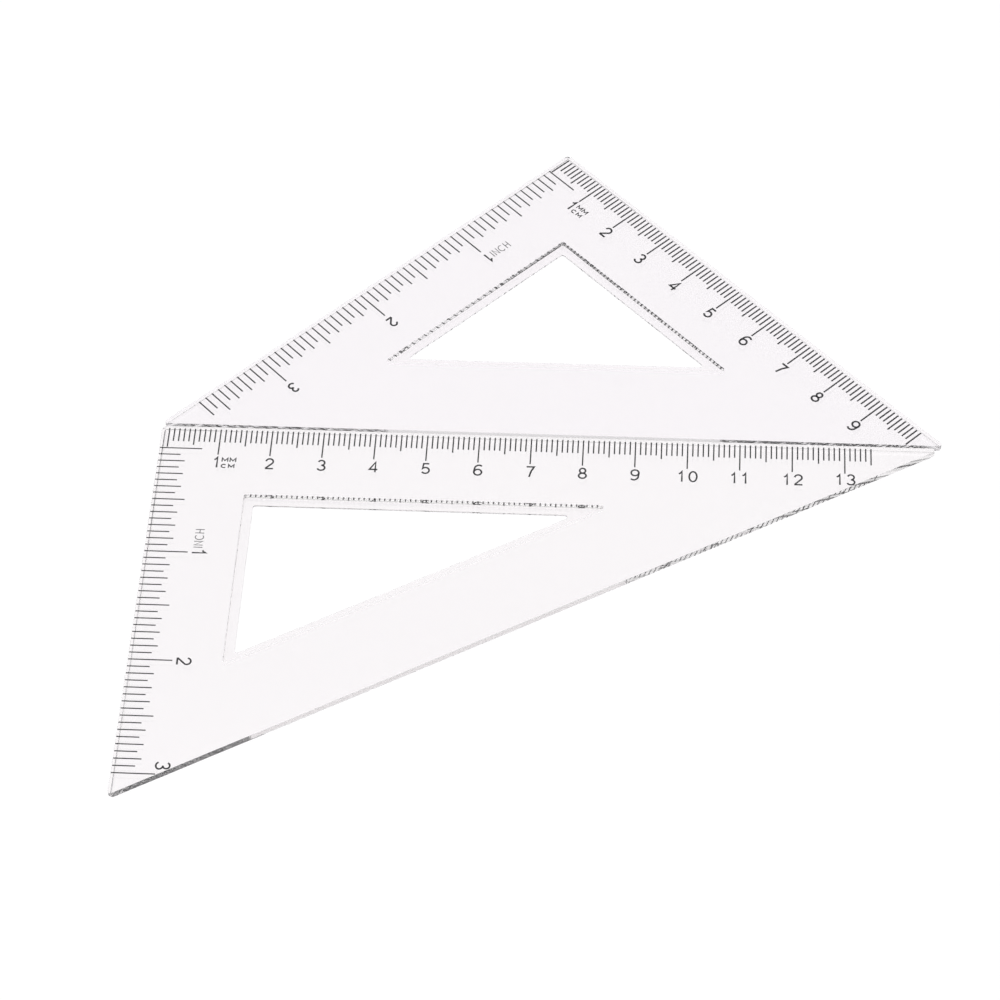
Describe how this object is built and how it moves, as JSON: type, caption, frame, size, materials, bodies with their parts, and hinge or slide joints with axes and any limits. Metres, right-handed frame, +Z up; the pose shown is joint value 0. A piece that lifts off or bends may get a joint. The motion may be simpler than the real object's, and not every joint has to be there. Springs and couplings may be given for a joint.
{
  "type": "set square pair",
  "caption": "Clear plastic 30/60/90 and 45/45/90 drawing triangles with triangular windows and undercut scale edges, lying side by side so one slides along the other.",
  "frame": {"origin": "centre of the pair's outline, on the surface both plates lie on", "axes": "+X along the edge the two plates share, +Y from the 60 plate towards the 45 plate's right angle, +Z up out of the printed faces"},
  "size_m": [0.15, 0.1618, 0.0014],
  "materials": {
    "clear_60": "clear moulded polystyrene, polished",
    "clear_45": "clear moulded polystyrene, polished"
  },
  "bodies": {
    "plate_60": {"set_square_60": "clear_60"},
    "plate_45": {"set_square_45": "clear_45"}
  },
  "joints": [
    {"name": "slide_along_edge", "type": "slide", "parent": "plate_60", "child": "plate_45", "axis": [1, 0, 0], "range_m": [-0.05, 0.05]}
  ]
}
